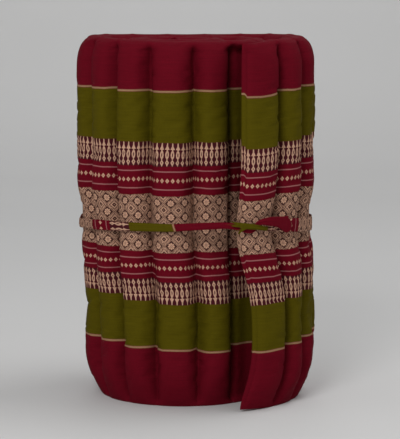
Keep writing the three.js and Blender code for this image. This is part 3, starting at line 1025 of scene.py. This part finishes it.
def joined(sweeps):
    """Points, faces and UV places of several closed strips in one mesh."""
    points, faces, places, start = [], [], [], 0
    for strip, strip_places in sweeps:
        rows, around = strip.shape[:2]
        ring = np.arange(around)
        faces += (grid_faces(rows, around, True) + start).tolist()
        faces += [(ring[::-1] + start).tolist(), (ring + start + (rows - 1) * around).tolist()]
        points.append(strip.reshape(-1, 3))
        places.append(strip_places.reshape(-1, 2))
        start += rows * around
    return np.concatenate(points), faces, np.concatenate(places)


class MATTRESS_OT_knot_ties(bpy.types.Operator):
    """Builds the two ties, which lie taut round the roll and are knotted in front"""
    bl_idname = "mattress.knot_ties"
    bl_label = "Knot ties"

    def execute(self, context):
        scene = context.scene
        ties = scene.tie_settings
        waist = Waist(Roll(scene.mattress_settings))
        material = banded_cloth("tie_cloth", scene.cloth_settings, TIE_WEAVE)
        makings = (
            ("tie_left", "left_tie", LEFT_STRAP, LEFT_KNOT, LEFT_BANDS, (), LEFT_THREADS),
            ("tie_right", "right_tie", RIGHT_STRAP, RIGHT_KNOT, RIGHT_BANDS, RIGHT_PRONGS, RIGHT_THREADS),
        )
        for node, name, strap, knot, bands, prongs, threads in makings:
            travel = math.copysign(1, strap[-1][0] - strap[0][0])
            rows, walked = evenly(tie_path(waist, strap, knot), TIE_STEP)
            places = band_places(waist, rows, walked, bands)
            sweeps = [swept(rows, walked, places, ties, travel)]
            for ends, around in ((prongs, PRONG_AROUND), (threads, THREAD_AROUND)):
                for end in ends:
                    bits, along = evenly(free_rows(waist, end), END_STEP)
                    sweeps.append(swept(bits, along, places[-1] + along / 4, ties, travel, around))
            piece = mesh_piece(name, *joined(sweeps), material)
            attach(piece, "root")
            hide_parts(node)
        return {"FINISHED"}


class MATTRESS_OT_set_stage(bpy.types.Operator):
    """Lays the pale floor with its backdrop, and sets the soft lights and the camera"""
    bl_idname = "mattress.set_stage"
    bl_label = "Set stage"

    def execute(self, context):
        stage = context.scene.stage_settings
        self.lay_floor(stage)
        self.set_lights(context.scene, stage)
        self.set_camera(context.scene, stage)
        return {"FINISHED"}

    def lay_floor(self, stage):
        bpy.ops.object.select_all(action="DESELECT")
        bpy.ops.mesh.primitive_plane_add(size=1, location=(0, FLOOR_MIDDLE, 0))
        floor = bpy.context.object
        floor.name = "studio_floor"
        bpy.ops.transform.resize(value=(FLOOR_WIDTH, FLOOR_DEPTH, 1))
        bpy.ops.object.transform_apply(location=True, rotation=False, scale=True)
        bpy.ops.object.mode_set(mode="EDIT")
        bpy.ops.mesh.select_mode(type="EDGE")
        bpy.ops.mesh.select_all(action="DESELECT")
        bpy.ops.object.mode_set(mode="OBJECT")
        for edge in floor.data.edges:
            edge.select = all(floor.data.vertices[i].co.y > BACK_EDGE for i in edge.vertices)
        bpy.ops.object.mode_set(mode="EDIT")
        bpy.ops.mesh.extrude_region_move(TRANSFORM_OT_translate={"value": (0, 0, BACKDROP_HEIGHT)})
        bpy.ops.object.mode_set(mode="OBJECT")
        for edge in floor.data.edges:
            ends = [floor.data.vertices[i].co for i in edge.vertices]
            edge.select = all(end.y > BACK_EDGE and end.z < 0.1 for end in ends)
        bpy.ops.object.mode_set(mode="EDIT")
        bpy.ops.mesh.bevel(offset=COVE_RADIUS, segments=COVE_STEPS, affect="EDGES")
        bpy.ops.object.mode_set(mode="OBJECT")
        bpy.ops.object.shade_smooth()

        material = bpy.data.materials.new("studio_floor")
        material.use_nodes = True
        shader = material.node_tree.nodes["Principled BSDF"]
        wire = Wire(material.node_tree)
        place = wire.node("ShaderNodeTexCoord", {}, {}, output="Object")
        mottle = wire.node("ShaderNodeTexNoise", {}, {"Vector": place, "Scale": 1.3, "Detail": 2})
        pale = tuple(min(1, 1.05 * c) for c in stage.floor)
        colour = mottle.over(solid(stage.floor), solid(pale))
        material.node_tree.links.new(colour.socket, shader.inputs["Base Color"])
        shader.inputs["Roughness"].default_value = 0.75
        shader.inputs["Specular IOR Level"].default_value = 0.2
        floor.data.materials.append(material)

    def set_lights(self, scene, stage):
        powers = (stage.key_power, stage.top_power, stage.backdrop_power)
        for (name, place, size), power in zip(LIGHTS, powers):
            bpy.ops.object.light_add(type="AREA", location=place)
            light = bpy.context.object
            light.name = name
            light.data.shape = "DISK"
            light.data.size = size
            light.data.energy = power
            away = np.array(place) - np.array([0, max(0, place[1] - AIM_BEFORE), AIM_HEIGHT])
            tilt = math.atan2(math.hypot(away[0], away[1]), away[2])
            light.rotation_euler = (tilt, 0, math.atan2(away[0], -away[1]))
        world = bpy.data.worlds.new("studio_air")
        world.use_nodes = True
        background = world.node_tree.nodes["Background"]
        background.inputs["Color"].default_value = (1, 1, 1, 1)
        background.inputs["Strength"].default_value = stage.ambient
        scene.world = world
        scene.view_settings.view_transform = "Standard"

    def set_camera(self, scene, stage):
        axis = Roll(scene.mattress_settings).shift
        place = (axis[0] + stage.aside, axis[1] - stage.distance, stage.eye)
        bpy.ops.object.camera_add(location=place, rotation=(math.pi / 2 - stage.pitch, 0, 0))
        camera = bpy.context.object
        camera.name = "photo_camera"
        camera.data.sensor_fit = "VERTICAL"
        camera.data.sensor_height = SENSOR
        camera.data.lens = stage.focal * SENSOR / IMAGE_HEIGHT
        camera.data.clip_end = 100
        scene.camera = camera


class MATTRESS_PT_panel(bpy.types.Panel):
    """Lists the settings and the steps that build the mattress"""
    bl_idname = "MATTRESS_PT_panel"
    bl_label = "Rolled mattress"
    bl_space_type = "VIEW_3D"
    bl_region_type = "UI"
    bl_category = "Mattress"

    def draw(self, context):
        for key, group in SETTINGS.items():
            box = self.layout.box()
            for name in group.__annotations__:
                box.prop(getattr(context.scene, key), name)
        for operator in OPERATORS:
            self.layout.operator(operator.bl_idname)


OPERATORS = (MATTRESS_OT_wind_roll, MATTRESS_OT_knot_ties, MATTRESS_OT_set_stage)
CLASSES = (*SETTINGS.values(), *OPERATORS, MATTRESS_PT_panel)


def register():
    for cls in CLASSES:
        bpy.utils.register_class(cls)
    for key, group in SETTINGS.items():
        setattr(bpy.types.Scene, key, PointerProperty(type=group))


def unregister():
    for key in SETTINGS:
        delattr(bpy.types.Scene, key)
    for cls in reversed(CLASSES):
        bpy.utils.unregister_class(cls)


def main():
    register()
    bpy.ops.mattress.wind_roll()
    bpy.ops.mattress.knot_ties()
    bpy.ops.mattress.set_stage()


if __name__ == "__main__":
    main()
